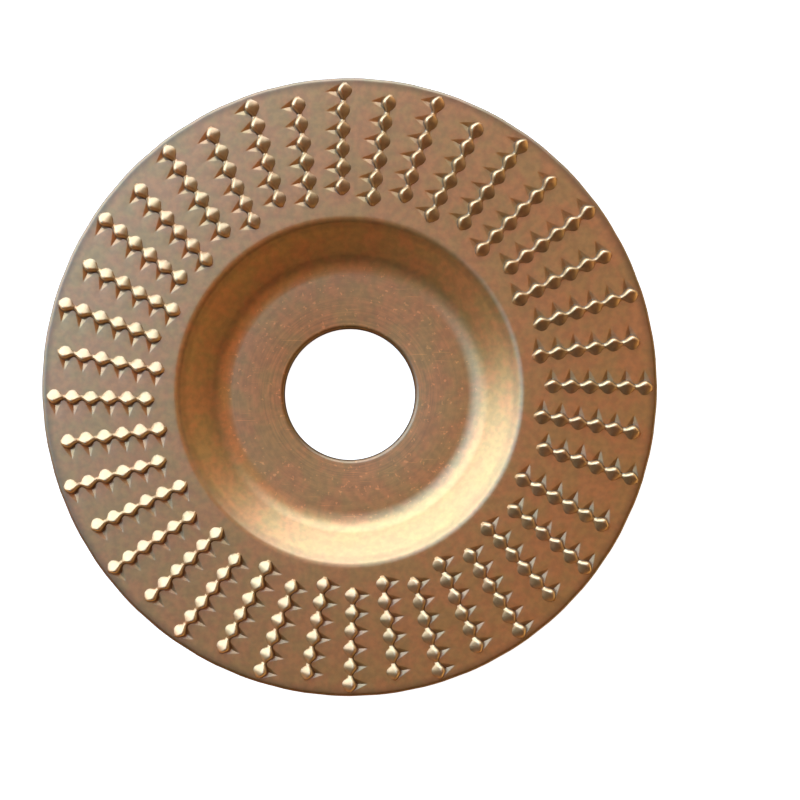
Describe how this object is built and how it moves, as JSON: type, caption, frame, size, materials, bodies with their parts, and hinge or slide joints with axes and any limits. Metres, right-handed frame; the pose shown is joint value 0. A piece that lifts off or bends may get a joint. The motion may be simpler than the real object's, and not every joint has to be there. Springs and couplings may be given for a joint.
{
  "type": "angle grinder carving disc",
  "caption": "Dished round steel carving disc with a central spindle bore and radial rows of raised punched teeth on its flat outer ring, lacquered bronze.",
  "frame": {"origin": "centre of the spindle bore on the hub's back seating face, which is the lowest face", "axes": "+Z along the spindle axis towards the toothed working face; +X and +Y lie in the disc's plane, with the middle of the first tooth row 15.5 degrees clockwise of +X"},
  "size_m": [0.1, 0.1, 0.0101],
  "materials": {
    "plate": "satin bronze metallic lacquer on steel",
    "teeth": "satin bronze metallic lacquer, brighter along the worn cutting edges"
  },
  "bodies": {
    "root": {"disc_plate": "plate", "tooth_row_01": "teeth", "tooth_row_02": "teeth", "tooth_row_03": "teeth", "tooth_row_04": "teeth", "tooth_row_05": "teeth", "tooth_row_06": "teeth", "tooth_row_07": "teeth", "tooth_row_08": "teeth", "tooth_row_09": "teeth", "tooth_row_10": "teeth", "tooth_row_11": "teeth", "tooth_row_12": "teeth", "tooth_row_13": "teeth", "tooth_row_14": "teeth", "tooth_row_15": "teeth", "tooth_row_16": "teeth", "tooth_row_17": "teeth", "tooth_row_18": "teeth", "tooth_row_19": "teeth", "tooth_row_20": "teeth", "tooth_row_21": "teeth", "tooth_row_22": "teeth", "tooth_row_23": "teeth", "tooth_row_24": "teeth", "tooth_row_25": "teeth", "tooth_row_26": "teeth", "tooth_row_27": "teeth", "tooth_row_28": "teeth", "tooth_row_29": "teeth", "tooth_row_30": "teeth", "tooth_row_31": "teeth", "tooth_row_32": "teeth", "tooth_row_33": "teeth", "tooth_row_34": "teeth", "tooth_row_35": "teeth", "tooth_row_36": "teeth", "tooth_row_37": "teeth", "tooth_row_38": "teeth", "tooth_row_39": "teeth", "tooth_row_40": "teeth"}
  },
  "joints": []
}
